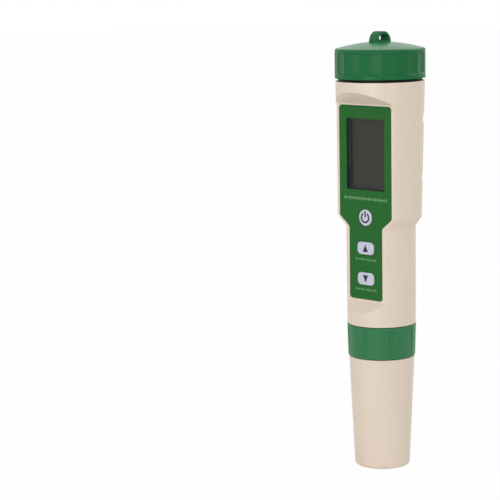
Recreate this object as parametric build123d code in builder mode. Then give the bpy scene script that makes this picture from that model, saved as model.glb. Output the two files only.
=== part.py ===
from build123d import *
from math import cos, hypot, radians, sin, sqrt
import os

# Hand-held water quality test pen, standing on the closed end of its probe cover.
# Millimetres. The axis of the pen is Z, the base is at z = 0 and the display faces -Y.

os.makedirs("parts", exist_ok=True)

# Outer pieces, from the base upwards
cover_height = 47.9
cover_base_radius = 11.8
cover_mouth_radius = 13.95
cover_base_round = 1.2
seam = 0.3
ring_height = 13.7
ring_low_radius = 14.3
ring_high_radius = 14.7
ring_groove_count = 8
ring_groove_turn = 11.5
ring_groove_depth = 0.2
ring_groove_round = 0.8
grip_length = 41.7
grip_low_radius = 14.6
grip_high_radius = 14.72
shoulder_height = 4.3
head_length = 57.0
head_low_radius = 18.6
head_high_radius = 18.75
head_low_back = 15.2
seal_height = 1.2
cap_height = 12.4
cap_radius = 19.0
cap_dome_rise = 2.4
cap_rim_round = 1.0

# Front flat with its run-out ramps
flat_depth = 9.95
flat_top_margin = 9.4
flat_bottom_margin = 10.3
upper_ramp_slope = 0.614
lower_ramp_slope = 1.0
flat_edge_round = 0.8
shoulder_low_round = 1.2
shoulder_high_round = 1.6

# Finger grooves around the back
finger_groove_drops = (15.9, 40.4)
finger_groove_depth = 1.6
finger_groove_round = 5.3
finger_groove_fade = 67.0

# Label, display and keys
label_thickness = 0.2
label_recess = 0.25
label_half_width = 14.43
label_narrow_half_width = 9.12
label_margin = 0.5
label_corner = 1.5
label_gap = 0.1
window_half_width = 10.46
window_height = 30.0
window_drop = 15.5
bezel_thickness = 0.8
pane_thickness = 0.5
pane_lap = 1.6
lcd_half_width = 11.7
lcd_height = 34.5
lcd_thickness = 1.2
lcd_setback = 1.0
backlight_thickness = 2.4
pin_pitch = 1.27
pin_count = 20
pin_width = 0.5
pin_lap = 0.8
pin_sheet = 0.2
power_key_drop = 11.6
key_pitch = 13.05
power_key_radius = 3.45
arrow_key_width = 9.0
arrow_key_height = 5.3
arrow_key_corner = 1.8
key_proud = 0.3
key_gap = 0.12
key_flange = 0.8
key_flange_thickness = 0.6
key_travel = 0.4
switch_size = 6.0
switch_height = 2.6
plunger_radius = 1.6
plunger_gap = 0.1
plunger_slack = 0.05

# Walls and threads
wall = 1.9
thread_gap = 0.15
nose_radius = 12.85
nose_length = 8.8
bore_gap = 0.2
socket_radius = 10.4
collar_height = 4.2
collar_radius = 16.4
collar_gap = 0.1
collar_ledge = 0.7
neck_radius = 15.5
neck_wall = 1.5
neck_length = 8.6
seal_radius = 17.7

# Circuit board
board_thickness = 1.6
board_grip_half_width = 11.2
board_head_half_width = 12.5
board_height = 94.0
rail_thickness = 0.8
rail_gap = 0.1

# Batteries
cell_radius = 5.8
cell_height = 5.4
cell_spacing = 12.6
cell_gap = 0.15
holder_floor = 1.4
spring_height = 2.8
spring_sheet = 0.3
spring_width = 4.0
spring_half_length = 4.0
contact_strip_width = 3.0
contact_strip_sheet = 0.35
contact_strip_length = 6.2
plate_thickness = 0.4
plate_radius = 13.6
plate_rise = 1.2
plate_centre_radius = 3.2
plate_gap = 0.05
plate_hole_gap = 0.3
screw_radius = 0.9
screw_head_radius = 2.2
screw_head_height = 0.75
screw_length = 3.2
ceiling_drop = 3.3
flute_count = 20
flute_turn = 6.5
flute_depth = 0.5
flute_foot = 1.7
flute_head = 1.4
loop_radius = 4.55
loop_band = 1.3
loop_width = 4.3
loop_hole_width = 5.8
loop_hole_height = 2.3

# Sensor module
plug_length = 5.2
flange_radius = 12.8
flange_thickness = 2.8
skirt_radius = 11.95
skirt_length = 10.6
o_ring_round = 0.6
o_ring_gap = 0.05
contact_pin_radius = 0.5
contact_pin_reach = 3.0
contact_pin_count = 6
contact_pin_pitch = 2.54
contact_lead_length = 9.0
socket_height = 5.9
sensor_neck_radius = 8.7
sensor_neck_length = 6.0
guard_radius = 10.0
guard_drop = 20.0
guard_slot_count = 6
guard_slot_width = 4.6
guard_rim = 2.6
sensor_gap = 0.05
bulb_radius = 3.6
bulb_wall = 0.6
bulb_stem_radius = 3.0
bulb_offset = 4.2
bulb_reach = 16.0
wire_radius = 0.3
junction_radius = 1.6
junction_reach = 2.5
probe_radius = 1.4
probe_reach = 10.0
band_radius = 1.55
band_height = 2.0
side_probe_offset = 5.7
pin_pair_offset = 5.6
pin_pair_spread = 2.4
pin_pair_radius = 0.9
pin_pair_reach = 9.0

# Probe cover inside
cover_floor = 1.7
cover_wall = 1.5
cover_mouth_depth = 8.4
sponge_height = 7.2
sponge_gap = 0.15

# Heights worked out from the sizes above
ring_bottom = cover_height + seam
ring_top = ring_bottom + ring_height
grip_bottom = ring_top + seam
shoulder_bottom = grip_bottom + grip_length
head_bottom = shoulder_bottom + shoulder_height
head_top = head_bottom + head_length
cap_bottom = head_top + seal_height
cap_rim = cap_bottom + cap_height
cap_top = cap_rim + cap_dome_rise
nose_bottom = grip_bottom - nose_length
neck_top = cap_bottom + neck_length
flat_bottom = grip_bottom + flat_bottom_margin
flat_top = head_top - flat_top_margin
label_bottom = flat_bottom + label_margin
label_top = flat_top - label_margin
window_top = head_top - window_drop
window_middle = window_top - window_height / 2
power_key_height = window_top - window_height - power_key_drop
arrow_key_heights = (power_key_height - key_pitch, power_key_height - 2 * key_pitch)
socket_bottom = nose_bottom + plug_length + 0.6
ledge_bottom = socket_bottom + socket_height
ledge_top = ledge_bottom + 1.0
board_bottom = ledge_top
board_top = board_bottom + board_height
holder_bottom = board_top
well_floor = holder_bottom + holder_floor
cell_bottom = well_floor + spring_height
plate_bottom = cell_bottom + 2 * cell_height + plate_gap
ceiling = cap_top - ceiling_drop

# Depths towards the front, measured along -Y
label_floor = flat_depth - label_recess
inner_flat = flat_depth - wall
lcd_front = inner_flat - lcd_setback
lcd_back = lcd_front - lcd_thickness
board_front = lcd_back - backlight_thickness
board_back = board_front - board_thickness
switch_top = board_front + switch_height
key_flange_front = inner_flat - key_gap
neck_bore = neck_radius - neck_wall
collar_bottom = head_top - collar_height
socket_bore = socket_radius + bore_gap
collar_seat = collar_radius + collar_gap
cavity_head_radius = collar_radius - collar_ledge


def oval_section(height, side, back):
    """Cross-section of the housing: a round front half and an oval back half."""
    with BuildSketch(Plane.XY.offset(height)) as section:
        with BuildLine():
            CenterArc((0, 0), side, 180, 180)
            if abs(side - back) < 0.001:
                CenterArc((0, 0), side, 0, 180)
            else:
                EllipticalCenterArc((0, 0), side, back, 0, arc_size=180)
        make_face()
    return section.sketch


def back_radius(height):
    """Half depth of the head's back at a height, growing evenly up to the top."""
    share = (height - head_bottom) / head_length
    return head_low_back + share * (head_high_radius - head_low_back)


def round_disc(radius, bottom, top):
    """A plain round solid on the pen's axis."""
    with BuildPart() as disc:
        with BuildSketch(Plane.XY.offset(bottom)):
            Circle(radius)
        extrude(amount=top - bottom)
    return disc.part


def front_outline(inset):
    """Side view of the room in front of the flat and its two ramps, moved back by an inset."""
    depth = flat_depth - inset
    reach = 2 * cap_radius
    run = reach - depth
    top = flat_top + inset * (hypot(1, upper_ramp_slope) - upper_ramp_slope)
    bottom = flat_bottom - inset * (hypot(1, lower_ramp_slope) - lower_ramp_slope)
    with BuildSketch(Plane.YZ) as outline:
        with BuildLine():
            Polyline(
                (-depth, bottom),
                (-depth, top),
                (-reach, top + run * upper_ramp_slope),
                (-reach, bottom - run * lower_ramp_slope),
                close=True,
            )
        make_face()
    return outline.sketch


def label_outline(inset, depth):
    """Outline of the label on a plane facing the front: wide at the head, narrow at the grip."""
    wide = label_half_width - inset
    narrow = label_narrow_half_width - inset
    with BuildSketch(Plane.XZ.offset(depth)) as outline:
        with BuildLine():
            Polyline(
                (-narrow, label_bottom + inset),
                (-narrow, shoulder_bottom),
                (-wide, head_bottom),
                (-wide, label_top - inset),
                (wide, label_top - inset),
                (wide, head_bottom),
                (narrow, shoulder_bottom),
                (narrow, label_bottom + inset),
                close=True,
            )
        make_face()
        fillet(outline.vertices(), label_corner)
    return outline.sketch


def key_outlines(depth, grow):
    """Outlines of the round power key and the two arrow keys on a plane facing the front."""
    with BuildSketch(Plane.XZ.offset(depth)) as outlines:
        with Locations((0, power_key_height)):
            Circle(power_key_radius + grow)
        with Locations(*[(0, height) for height in arrow_key_heights]):
            RectangleRounded(
                arrow_key_width + 2 * grow, arrow_key_height + 2 * grow, arrow_key_corner + grow
            )
    return outlines.sketch


def finger_groove(height):
    """Ring that cuts a groove around the back, deepest at the middle and fading to both sides."""
    floor_depth = back_radius(height) - finger_groove_depth
    fade_x = head_high_radius * sin(radians(finger_groove_fade))
    fade_y = back_radius(height) * cos(radians(finger_groove_fade))
    centre = (fade_x**2 + fade_y**2 - floor_depth**2) / (2 * (floor_depth - fade_y))
    with BuildPart() as groove:
        with BuildSketch(Plane.XZ):
            with Locations((floor_depth + centre + finger_groove_round, height)):
                Circle(finger_groove_round)
        revolve(axis=Axis.Z)
    return groove.part.moved(Location((0, -centre, 0)))


# Room inside the housing, open to the neck at the top
with BuildPart() as cavity:
    with BuildSketch(Plane.XY.offset(ledge_top)):
        Circle(grip_low_radius - wall)
    extrude(amount=shoulder_bottom - ledge_top)
    loft(
        [
            oval_section(shoulder_bottom, grip_low_radius - wall, grip_low_radius - wall),
            oval_section(head_bottom, head_low_radius - wall, head_low_back - wall),
        ],
        ruled=True,
    )
    loft(
        [
            oval_section(head_bottom, head_low_radius - wall, head_low_back - wall),
            oval_section(collar_bottom, cavity_head_radius, cavity_head_radius),
        ],
        ruled=True,
    )
    add(extrude(front_outline(wall), amount=cap_radius, both=True, mode=Mode.PRIVATE), mode=Mode.SUBTRACT)

# Main housing: round grip, flared head, front flat and two finger grooves around the back
with BuildPart() as main_housing:
    loft(
        [
            oval_section(grip_bottom, grip_low_radius, grip_low_radius),
            oval_section(shoulder_bottom, grip_high_radius, grip_high_radius),
        ],
        ruled=True,
    )
    loft(
        [
            oval_section(shoulder_bottom, grip_high_radius, grip_high_radius),
            oval_section(head_bottom, head_low_radius, head_low_back),
        ],
        ruled=True,
    )
    loft(
        [
            oval_section(head_bottom, head_low_radius, head_low_back),
            oval_section(head_top, head_high_radius, head_high_radius),
        ],
        ruled=True,
    )
    for height, rounding in ((head_bottom, shoulder_high_round), (shoulder_bottom, shoulder_low_round)):
        corner = main_housing.edges().filter_by_position(Axis.Z, height - 0.01, height + 0.01)
        fillet(corner, rounding)
    extrude(front_outline(0), amount=cap_radius, both=True, mode=Mode.SUBTRACT)
    for drop in finger_groove_drops:
        add(finger_groove(head_top - drop), mode=Mode.SUBTRACT)
    flat_face = main_housing.faces().filter_by(Axis.Y).sort_by(Axis.Y)[0]
    fillet(flat_face.edges(), flat_edge_round)
    add(cavity.part, mode=Mode.SUBTRACT)
    add(round_disc(collar_seat, collar_bottom, head_top), mode=Mode.SUBTRACT)
    add(round_disc(nose_radius, nose_bottom, grip_bottom))
    add(round_disc(socket_bore, nose_bottom, ledge_bottom), mode=Mode.SUBTRACT)
    add(round_disc(socket_radius - 1.4, ledge_bottom, ledge_top), mode=Mode.SUBTRACT)
    # board rails along both sides of the grip
    rail_reach = grip_low_radius - wall + 0.3
    with BuildSketch(Plane.XY.offset(ledge_top)):
        for side in (-1, 1):
            for face in (board_front + rail_gap + rail_thickness / 2, board_back - rail_gap - rail_thickness / 2):
                with Locations((side * (board_grip_half_width + rail_reach - 1.2) / 2, -face)):
                    Rectangle(rail_reach - board_grip_half_width + 1.2, rail_thickness)
    extrude(amount=shoulder_bottom - ledge_top)
    # label recess, pane seat, display opening and key holes
    add(extrude(label_outline(0, label_floor), amount=2 * label_recess, mode=Mode.PRIVATE), mode=Mode.SUBTRACT)
    with BuildSketch(Plane.XZ.offset(inner_flat - 1)):
        with Locations((0, window_middle)):
            Rectangle(2 * (window_half_width + bezel_thickness), window_height + 2 * bezel_thickness)
    extrude(amount=wall + 1, mode=Mode.SUBTRACT)
    with BuildSketch(Plane.XZ.offset(label_floor - pane_thickness)):
        with Locations((0, window_middle)):
            Rectangle(2 * (window_half_width + pane_lap) + label_gap, window_height + 2 * pane_lap + label_gap)
    extrude(amount=1, mode=Mode.SUBTRACT)
    add(extrude(key_outlines(inner_flat - 1, key_gap), amount=wall + 1, mode=Mode.PRIVATE), mode=Mode.SUBTRACT)
main_housing.part.label = "main_housing"
export_step(main_housing.part, "parts/main_housing.step")

# Front label film with openings for the display and the keys
with BuildPart() as front_label:
    extrude(label_outline(label_gap, label_floor), amount=label_thickness)
    with BuildSketch(Plane.XZ.offset(label_floor)):
        with Locations((0, window_middle)):
            Rectangle(2 * window_half_width, window_height)
    extrude(amount=label_thickness, mode=Mode.SUBTRACT)
    add(
        extrude(key_outlines(label_floor, key_gap), amount=label_thickness, mode=Mode.PRIVATE),
        mode=Mode.SUBTRACT,
    )
front_label.part.label = "front_label"
export_step(front_label.part, "parts/front_label.step")

# Clear pane behind the label
with BuildPart() as display_window:
    with BuildSketch(Plane.XZ.offset(label_floor - pane_thickness)):
        with Locations((0, window_middle)):
            Rectangle(2 * (window_half_width + pane_lap), window_height + 2 * pane_lap)
    extrude(amount=pane_thickness)
display_window.part.label = "display_window"
export_step(display_window.part, "parts/display_window.step")

# Dark frame that lines the display opening
bezel_depth = label_floor - pane_thickness - inner_flat
with BuildPart() as display_bezel:
    with BuildSketch(Plane.XZ.offset(inner_flat)):
        with Locations((0, window_middle)):
            Rectangle(
                2 * (window_half_width + bezel_thickness) - label_gap,
                window_height + 2 * bezel_thickness - label_gap,
            )
            Rectangle(2 * window_half_width, window_height, mode=Mode.SUBTRACT)
    extrude(amount=bezel_depth)
display_bezel.part.label = "display_bezel"
export_step(display_bezel.part, "parts/display_bezel.step")

# Liquid crystal panel
with BuildPart() as lcd_panel:
    with BuildSketch(Plane.XZ.offset(lcd_back)):
        with Locations((0, window_middle)):
            Rectangle(2 * lcd_half_width, lcd_height)
    extrude(amount=lcd_thickness)
lcd_panel.part.label = "lcd_panel"
export_step(lcd_panel.part, "parts/lcd_panel.step")

# Comb of contact pins that grips the left edge of the panel and runs down to the board
with BuildPart() as lcd_pins:
    with BuildSketch(Plane.XY.offset(window_top - pin_width)):
        with BuildLine():
            Polyline(
                (-lcd_half_width + pin_lap, -lcd_front),
                (-lcd_half_width, -lcd_front),
                (-lcd_half_width, -board_front),
                (-lcd_half_width - pin_sheet, -board_front),
                (-lcd_half_width - pin_sheet, -lcd_front - pin_sheet),
                (-lcd_half_width + pin_lap, -lcd_front - pin_sheet),
                close=True,
            )
        make_face()
    extrude(amount=pin_width)
    one_pin = lcd_pins.part
    for index in range(1, pin_count):
        add(one_pin.moved(Location((0, 0, -index * pin_pitch))))
lcd_pins.part.label = "lcd_pins"
export_step(lcd_pins.part, "parts/lcd_pins.step")

# Light guide between the panel and the board
with BuildPart() as lcd_backlight:
    with BuildSketch(Plane.XZ.offset(board_front)):
        with Locations((0, window_middle)):
            RectangleRounded(2 * lcd_half_width - 0.6, lcd_height - 0.6, 0.8)
    extrude(amount=backlight_thickness)
lcd_backlight.part.label = "lcd_backlight"
export_step(lcd_backlight.part, "parts/lcd_backlight.step")

# Circuit board, wide behind the display and narrow in the grip
with BuildPart() as circuit_board:
    with BuildSketch(Plane.XZ.offset(board_back)) as board_outline:
        with BuildLine():
            Polyline(
                (-board_grip_half_width, board_bottom),
                (-board_grip_half_width, shoulder_bottom),
                (-board_head_half_width, head_bottom),
                (-board_head_half_width, board_top),
                (board_head_half_width, board_top),
                (board_head_half_width, head_bottom),
                (board_grip_half_width, shoulder_bottom),
                (board_grip_half_width, board_bottom),
                close=True,
            )
        make_face()
    extrude(amount=board_thickness)
circuit_board.part.label = "circuit_board"
export_step(circuit_board.part, "parts/circuit_board.step")

# Electronic parts on the back of the board
chip_height = 1.2
with BuildPart() as controller_chip:
    with BuildSketch(Plane.XZ.offset(board_back - chip_height)):
        with Locations((0, window_middle)):
            Rectangle(10, 10)
    extrude(amount=chip_height)
    chamfer(controller_chip.edges().filter_by(Axis.Y), 0.6)
controller_chip.part.label = "controller_chip"
export_step(controller_chip.part, "parts/controller_chip.step")

amplifier_spacing = 14.0
with BuildPart() as amplifier_chips:
    with BuildSketch(Plane.XZ.offset(board_back - chip_height)):
        for step in range(2):
            with Locations((0, ledge_top + 10 + step * amplifier_spacing)):
                Rectangle(5, 6.2)
    extrude(amount=chip_height)
amplifier_chips.part.label = "amplifier_chips"
export_step(amplifier_chips.part, "parts/amplifier_chips.step")

with BuildPart() as clock_crystal:
    with BuildSketch(Plane.XZ.offset(board_back - chip_height)):
        with Locations((0, window_middle + 10)):
            SlotOverall(7.5, 3.2)
    extrude(amount=chip_height)
clock_crystal.part.label = "clock_crystal"
export_step(clock_crystal.part, "parts/clock_crystal.step")

with BuildPart() as chip_capacitors:
    with BuildSketch(Plane.XZ.offset(board_back - 0.8)):
        for row_height in (window_middle - 10, window_middle - 16, ledge_top + 17):
            with Locations((0, row_height)):
                with GridLocations(3.4, 1, 4, 1):
                    Rectangle(1.2, 2.0)
    extrude(amount=0.8)
chip_capacitors.part.label = "chip_capacitors"
export_step(chip_capacitors.part, "parts/chip_capacitors.step")

# Key switches on the front of the board, each with a well for its plunger
key_heights = (power_key_height, *arrow_key_heights)
key_names = ("power_key", "up_key", "down_key")
plunger_depth = key_travel + 0.2
with BuildPart() as key_switches:
    with BuildSketch(Plane.XZ.offset(board_front)):
        for height in key_heights:
            with Locations((0, height)):
                RectangleRounded(switch_size, switch_size, 0.5)
    extrude(amount=switch_height)
    with BuildSketch(Plane.XZ.offset(switch_top - plunger_depth)):
        for height in key_heights:
            with Locations((0, height)):
                Circle(plunger_radius + plunger_gap)
    extrude(amount=plunger_depth, mode=Mode.SUBTRACT)
key_switches.part.label = "key_switches"
export_step(key_switches.part, "parts/key_switches.step")

# Keys with a retaining flange behind the wall, and the switch plungers that they press
key_front = flat_depth + key_proud
key_back = key_flange_front - key_flange_thickness
for name, height in zip(key_names, key_heights):
    with BuildPart() as key:
        for start, end, grow in ((key_flange_front, key_front, 0), (key_back, key_flange_front, key_flange)):
            with BuildSketch(Plane.XZ.offset(start)):
                with Locations((0, height)):
                    if name == "power_key":
                        Circle(power_key_radius + grow)
                    else:
                        RectangleRounded(
                            arrow_key_width + 2 * grow,
                            arrow_key_height + 2 * grow,
                            arrow_key_corner + grow,
                        )
            extrude(amount=end - start)
        fillet(key.faces().sort_by(Axis.Y)[0].edges(), key_proud)
    key.part.label = name
    export_step(key.part, f"parts/{name}.step")
    with BuildPart() as plunger:
        with BuildSketch(Plane.XZ.offset(switch_top - plunger_depth + key_travel + plunger_slack)):
            with Locations((0, height)):
                Circle(plunger_radius)
        extrude(amount=key_back - switch_top + plunger_depth - key_travel - plunger_slack)
    plunger_name = name.replace("_key", "_plunger")
    plunger.part.label = plunger_name
    export_step(plunger.part, f"parts/{plunger_name}.step")

# Threaded collar that closes the head and carries the battery cap
with BuildPart() as threaded_collar:
    add(round_disc(collar_radius, collar_bottom, head_top))
    add(round_disc(neck_radius, head_top, neck_top))
    add(round_disc(neck_bore, collar_bottom, neck_top), mode=Mode.SUBTRACT)
    chamfer(threaded_collar.faces().sort_by(Axis.Z)[-1].edges(), 0.4)
threaded_collar.part.label = "threaded_collar"
export_step(threaded_collar.part, "parts/threaded_collar.step")

# Flat seal between the head and the battery cap
seal_inner = neck_radius + 0.1
with BuildPart() as cap_seal:
    with BuildSketch(Plane.XY.offset(head_top)):
        Circle(seal_radius)
        Circle(seal_inner, mode=Mode.SUBTRACT)
    extrude(amount=seal_height)
    fillet(cap_seal.edges().filter_by(GeomType.CIRCLE).group_by(SortBy.LENGTH)[-1], seal_height / 3)
cap_seal.part.label = "cap_seal"
export_step(cap_seal.part, "parts/cap_seal.step")

# Battery holder with two wells of two cells, seated on the board's top edge
cell_places = ((-cell_spacing / 2, 0), (cell_spacing / 2, 0))
holder_top = neck_top - 0.4
strip_y = -board_back + contact_strip_sheet / 2
with BuildPart() as battery_holder:
    add(round_disc(neck_bore - bore_gap, holder_bottom, holder_top))
    chamfer(battery_holder.faces().sort_by(Axis.Z)[0].edges(), holder_floor / 2)
    with BuildSketch(Plane.XY.offset(well_floor)):
        with Locations(*cell_places):
            Circle(cell_radius + cell_gap)
    extrude(amount=holder_top - well_floor, mode=Mode.SUBTRACT)
    with BuildSketch(Plane.XY.offset(holder_bottom)):
        for side in (-1, 1):
            with Locations((side * cell_spacing / 2, strip_y)):
                Rectangle(contact_strip_width + 0.1, contact_strip_sheet + 0.1)
    extrude(amount=holder_floor, mode=Mode.SUBTRACT)
battery_holder.part.label = "battery_holder"
export_step(battery_holder.part, "parts/battery_holder.step")

# Button cells, two in each well
with BuildPart() as button_cells:
    for level in range(2):
        bottom = cell_bottom + level * cell_height
        with BuildSketch(Plane.XY.offset(bottom)):
            with Locations(*cell_places):
                Circle(cell_radius - 0.5)
        extrude(amount=0.5)
        with BuildSketch(Plane.XY.offset(bottom + 0.5)):
            with Locations(*cell_places):
                Circle(cell_radius)
        extrude(amount=cell_height - 0.55)
    chamfer(button_cells.edges().filter_by(GeomType.CIRCLE).group_by(Axis.Z)[-1], 0.3)
button_cells.part.label = "button_cells"
export_step(button_cells.part, "parts/button_cells.step")

# Bowed leaf springs under the cells
with BuildPart() as battery_springs:
    for side in (-1, 1):
        middle = side * cell_spacing / 2
        with BuildSketch(Plane.XZ):
            with BuildLine():
                ThreePointArc(
                    (middle - spring_half_length, well_floor),
                    (middle, cell_bottom - plate_gap),
                    (middle + spring_half_length, well_floor),
                )
                Line(
                    (middle + spring_half_length, well_floor),
                    (middle + spring_half_length - spring_sheet, well_floor),
                )
                ThreePointArc(
                    (middle + spring_half_length - spring_sheet, well_floor),
                    (middle, cell_bottom - plate_gap - spring_sheet),
                    (middle - spring_half_length + spring_sheet, well_floor),
                )
                Line(
                    (middle - spring_half_length + spring_sheet, well_floor),
                    (middle - spring_half_length, well_floor),
                )
            make_face()
        extrude(amount=spring_width / 2, both=True)
battery_springs.part.label = "battery_springs"
export_step(battery_springs.part, "parts/battery_springs.step")

# Contact strips from the wells down to the back of the board
with BuildPart() as contact_strips:
    with BuildSketch(Plane.XY.offset(well_floor - contact_strip_length)):
        for side in (-1, 1):
            with Locations((side * cell_spacing / 2, strip_y)):
                Rectangle(contact_strip_width, contact_strip_sheet)
    extrude(amount=contact_strip_length)
contact_strips.part.label = "contact_strips"
export_step(contact_strips.part, "parts/contact_strips.step")

# Sprung contact plate, raised in the middle over its screw
with BuildPart() as contact_plate:
    with BuildSketch(Plane.XZ):
        with BuildLine():
            Polyline(
                (screw_radius + plate_hole_gap, plate_bottom + plate_rise),
                (plate_centre_radius, plate_bottom + plate_rise),
                (plate_centre_radius + plate_rise, plate_bottom),
                (plate_radius, plate_bottom),
                (plate_radius, plate_bottom + plate_thickness),
                (plate_centre_radius + plate_rise + plate_thickness / 2, plate_bottom + plate_thickness),
                (plate_centre_radius + plate_thickness / 2, plate_bottom + plate_rise + plate_thickness),
                (screw_radius + plate_hole_gap, plate_bottom + plate_rise + plate_thickness),
                close=True,
            )
        make_face()
    revolve(axis=Axis.Z)
contact_plate.part.label = "contact_plate"
export_step(contact_plate.part, "parts/contact_plate.step")

# Battery cap: fluted cup with a shallow dome and a lanyard loop on top
plate_top = plate_bottom + plate_thickness
boss_bottom = plate_top + plate_rise + plate_gap
cap_bore = neck_radius + thread_gap
flute_chord = cap_radius * sin(radians(180 / flute_count))
ridge_reach = cap_radius * cos(radians(180 / flute_count))
flute_bottom_radius = cap_radius - flute_depth
flute_sag = ridge_reach - flute_bottom_radius
flute_round = (flute_chord**2 + flute_sag**2) / (2 * flute_sag)
dome_round = (cap_radius**2 + cap_dome_rise**2) / (2 * cap_dome_rise)
with BuildPart() as battery_cap:
    with BuildSketch(Plane.XZ):
        with BuildLine():
            RadiusArc((0, cap_top), (cap_radius, cap_rim), -dome_round)
            Line((cap_radius, cap_rim), (cap_radius, cap_bottom))
            Line((cap_radius, cap_bottom), (0, cap_bottom))
            Line((0, cap_bottom), (0, cap_top))
        make_face()
    revolve(axis=Axis.Z)
    rim = battery_cap.edges().filter_by(GeomType.CIRCLE).filter_by_position(Axis.Z, cap_rim - 0.01, cap_rim + 0.01)
    fillet(rim, cap_rim_round)
    # concave flutes with a plain band above and below
    with BuildPart(mode=Mode.PRIVATE) as flute_cutter:
        with BuildSketch(Plane.XY.offset(cap_bottom + flute_foot)):
            with PolarLocations(
                flute_bottom_radius + flute_round, flute_count, flute_turn + 180 / flute_count - 90
            ):
                Circle(flute_round)
        extrude(amount=cap_height - flute_foot - flute_head)
        chamfer(flute_cutter.edges().filter_by(GeomType.CIRCLE), flute_depth)
    add(flute_cutter.part, mode=Mode.SUBTRACT)
    # lanyard loop: an arch with a raised floor between its feet
    with BuildSketch(Plane.YZ):
        with Locations((0, cap_top)):
            Circle(loop_radius)
            Rectangle(
                2 * loop_radius, loop_radius, align=(Align.CENTER, Align.MAX), mode=Mode.SUBTRACT
            )
            Rectangle(2 * loop_radius, cap_dome_rise / 2, align=(Align.CENTER, Align.MAX))
        with Locations((0, cap_top + loop_radius - loop_band - loop_hole_height)):
            Rectangle(
                loop_hole_width, loop_hole_height / 2, align=(Align.CENTER, Align.MIN), mode=Mode.SUBTRACT
            )
        with Locations((0, cap_top + loop_radius - loop_band - loop_hole_height / 2)):
            Ellipse(loop_hole_width / 2, loop_hole_height / 2, mode=Mode.SUBTRACT)
    extrude(amount=loop_width / 2, both=True)
    # inside: threaded bore, plate ring and screw boss
    add(round_disc(cap_bore, cap_bottom, ceiling), mode=Mode.SUBTRACT)
    with BuildSketch(Plane.XY.offset(plate_top + plate_gap)):
        Circle(plate_radius)
        Circle(plate_radius - 1.2, mode=Mode.SUBTRACT)
    extrude(amount=ceiling - plate_top - plate_gap)
    add(round_disc(plate_centre_radius, boss_bottom, ceiling))
    add(round_disc(screw_radius, boss_bottom, boss_bottom + screw_length - 1), mode=Mode.SUBTRACT)
battery_cap.part.label = "battery_cap"
export_step(battery_cap.part, "parts/battery_cap.step")

# Screw that keeps the contact plate in the cap
screw_head_top = plate_bottom + plate_rise - plate_gap
with BuildPart() as plate_screw:
    add(round_disc(screw_head_radius, screw_head_top - screw_head_height, screw_head_top))
    fillet(plate_screw.faces().sort_by(Axis.Z)[0].edges(), screw_head_height / 2)
    add(round_disc(screw_radius, screw_head_top, boss_bottom + screw_length - 1.2))
plate_screw.part.label = "plate_screw"
export_step(plate_screw.part, "parts/plate_screw.step")

# Sensor socket inside the nose, with its row of contacts
contact_row_y = -board_front - contact_pin_radius
with BuildPart() as sensor_socket:
    add(round_disc(socket_radius, socket_bottom, ledge_bottom))
    with BuildSketch(Plane.XY.offset(socket_bottom)):
        with Locations((0, contact_row_y)):
            with GridLocations(contact_pin_pitch, 1, contact_pin_count, 1):
                Circle(contact_pin_radius + plunger_gap)
    extrude(amount=socket_height, mode=Mode.SUBTRACT)
sensor_socket.part.label = "sensor_socket"
export_step(sensor_socket.part, "parts/sensor_socket.step")

pin_top = nose_bottom + plug_length + contact_pin_reach
lead_bottom = pin_top + 0.4
with BuildPart() as socket_leads:
    with BuildSketch(Plane.XY.offset(lead_bottom)):
        with Locations((0, contact_row_y)):
            with GridLocations(contact_pin_pitch, 1, contact_pin_count, 1):
                Circle(contact_pin_radius)
    extrude(amount=contact_lead_length)
socket_leads.part.label = "socket_leads"
export_step(socket_leads.part, "parts/socket_leads.step")

# Sensor module: plug, flange held by the lock ring, skirt inside the cover, neck for the guard
plug_top = nose_bottom + plug_length
flange_bottom = nose_bottom - flange_thickness
skirt_bottom = flange_bottom - skirt_length
neck_bottom = skirt_bottom - sensor_neck_length
module_seal_height = nose_bottom + plug_length / 2
cover_mouth_bore = skirt_radius + thread_gap
cover_seal_height = skirt_bottom + skirt_length / 2
seal_groove_half = o_ring_round + 0.15


def o_ring(outer_radius, height):
    """Seal ring of round section around the pen's axis."""
    with BuildPart() as ring:
        with Locations((0, 0, height)):
            Torus(outer_radius - o_ring_round, o_ring_round)
    return ring.part


def seal_groove(outer_radius, height):
    """Groove that holds a seal ring."""
    with BuildPart() as groove:
        with BuildSketch(Plane.XY.offset(height - seal_groove_half)):
            Circle(outer_radius + 2)
            Circle(outer_radius - 2 * o_ring_round, mode=Mode.SUBTRACT)
        extrude(amount=2 * seal_groove_half)
    return groove.part


module_seal_outer = socket_bore - o_ring_gap
cover_seal_outer = cover_mouth_bore - o_ring_gap
with BuildPart() as sensor_body:
    add(round_disc(socket_radius, nose_bottom, plug_top))
    add(round_disc(flange_radius, flange_bottom, nose_bottom))
    add(round_disc(skirt_radius, skirt_bottom, flange_bottom))
    add(round_disc(sensor_neck_radius, neck_bottom, skirt_bottom))
    add(seal_groove(module_seal_outer, module_seal_height), mode=Mode.SUBTRACT)
    add(seal_groove(cover_seal_outer, cover_seal_height), mode=Mode.SUBTRACT)
sensor_body.part.label = "sensor_body"
export_step(sensor_body.part, "parts/sensor_body.step")

with BuildPart() as sensor_pins:
    with BuildSketch(Plane.XY.offset(plug_top)):
        with Locations((0, contact_row_y)):
            with GridLocations(contact_pin_pitch, 1, contact_pin_count, 1):
                Circle(contact_pin_radius)
    extrude(amount=contact_pin_reach)
sensor_pins.part.label = "sensor_pins"
export_step(sensor_pins.part, "parts/sensor_pins.step")

for name, outer, height in (
    ("module_seal", module_seal_outer, module_seal_height),
    ("cover_seal", cover_seal_outer, cover_seal_height),
):
    with BuildPart() as seal:
        add(o_ring(outer, height))
    seal.part.label = name
    export_step(seal.part, f"parts/{name}.step")

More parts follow.
